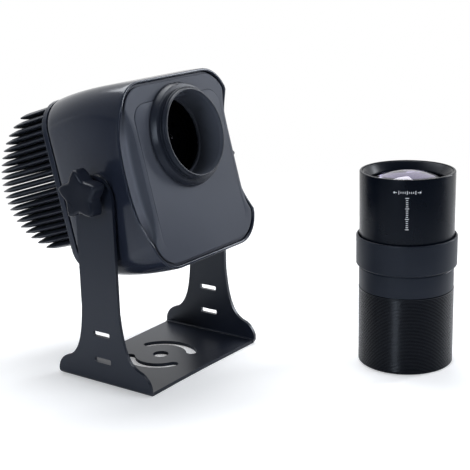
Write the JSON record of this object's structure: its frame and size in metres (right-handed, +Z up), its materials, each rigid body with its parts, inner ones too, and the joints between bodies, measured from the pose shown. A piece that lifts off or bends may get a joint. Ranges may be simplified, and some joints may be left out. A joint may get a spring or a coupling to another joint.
{
  "type": "gobo projector",
  "caption": "Finned LED projector head tilting in a bent steel bracket between star knobs, with its focusing lens tube standing beside it.",
  "frame": {"origin": "on the floor, under the middle of the bounding box of the whole object, lens tube included", "axes": "+Z up, -Y the side that the head shines to, +X from the left arm to the right one, seen from behind the head"},
  "size_m": [0.2498, 0.3848, 0.2528],
  "materials": {
    "coated_steel": "fine satin powder coat, near black",
    "housing": "fine matte dark blue-grey coat",
    "cover": "fine matte charcoal coat",
    "anodised": "satin black anodising",
    "cast_black": "matte black, lightly worn at the edges",
    "knob": "moulded black nylon",
    "steel": "plain turned steel",
    "rubber": "black sealing rubber",
    "glass": "coated optical glass",
    "board": "white solder mask",
    "emitter": "yellow phosphor",
    "mirror": "polished reflector",
    "brass": "turned brass"
  },
  "bodies": {
    "stand": {"yoke_bracket": "coated_steel", "tube_barrel": "anodised", "tube_collar": "anodised", "helicoid_ring": "brass"},
    "head": {"housing_shell": "housing", "front_cover": "cover", "rear_seal": "rubber", "rear_frame": "housing", "heatsink": "cast_black", "driver_board": "board", "cable_gland": "knob", "cable_gland_nut": "knob", "rear_screw_left": "steel", "rear_screw_right": "steel", "lens_socket": "anodised", "socket_nut": "anodised", "optics_barrel": "anodised", "gobo_clip": "steel", "gobo_disc": "steel", "condenser_lens": "glass", "condenser_ring": "anodised", "led_reflector": "mirror", "led_emitter": "emitter", "led_board": "board", "hinge_boss_left": "steel", "hinge_boss_right": "steel", "friction_washer_left": "rubber", "friction_washer_right": "rubber"},
    "clamp_left": {"knob_left": "knob", "knob_stud_left": "steel", "knob_washer_left": "steel"},
    "clamp_right": {"knob_right": "knob", "knob_stud_right": "steel", "knob_washer_right": "steel"},
    "lens_guide": {"guide_sleeve": "anodised", "snap_ring": "steel", "rear_lens": "glass"},
    "focus": {"focus_barrel": "anodised", "front_lens": "glass", "lens_retainer": "anodised"}
  },
  "joints": [
    {"name": "head_tilt", "type": "hinge", "parent": "stand", "child": "head", "pos_m": [-0.0309, 0.03376, 0.1666], "axis": [1, 0, 0], "range_deg": [-75, 104]},
    {"name": "knob_turn_left", "type": "hinge", "parent": "head", "child": "clamp_left", "pos_m": [-0.0309, 0.03376, 0.1666], "axis": [1, 0, 0], "continuous": true},
    {"name": "knob_turn_right", "type": "hinge", "parent": "head", "child": "clamp_right", "pos_m": [-0.0309, 0.03376, 0.1666], "axis": [1, 0, 0], "continuous": true},
    {"name": "lens_travel", "type": "slide", "parent": "stand", "child": "lens_guide", "axis": [0, 0, 1], "range_m": [0, 0.012]},
    {"name": "focus_turn", "type": "hinge", "parent": "lens_guide", "child": "focus", "pos_m": [0.0821, -0.14964, 0.12], "axis": [0, 0, 1], "range_deg": [0, 270]}
  ],
  "couplings": [
    {"joint": "lens_travel", "follows": "focus_turn", "m_per_rad": 0.002546}
  ]
}
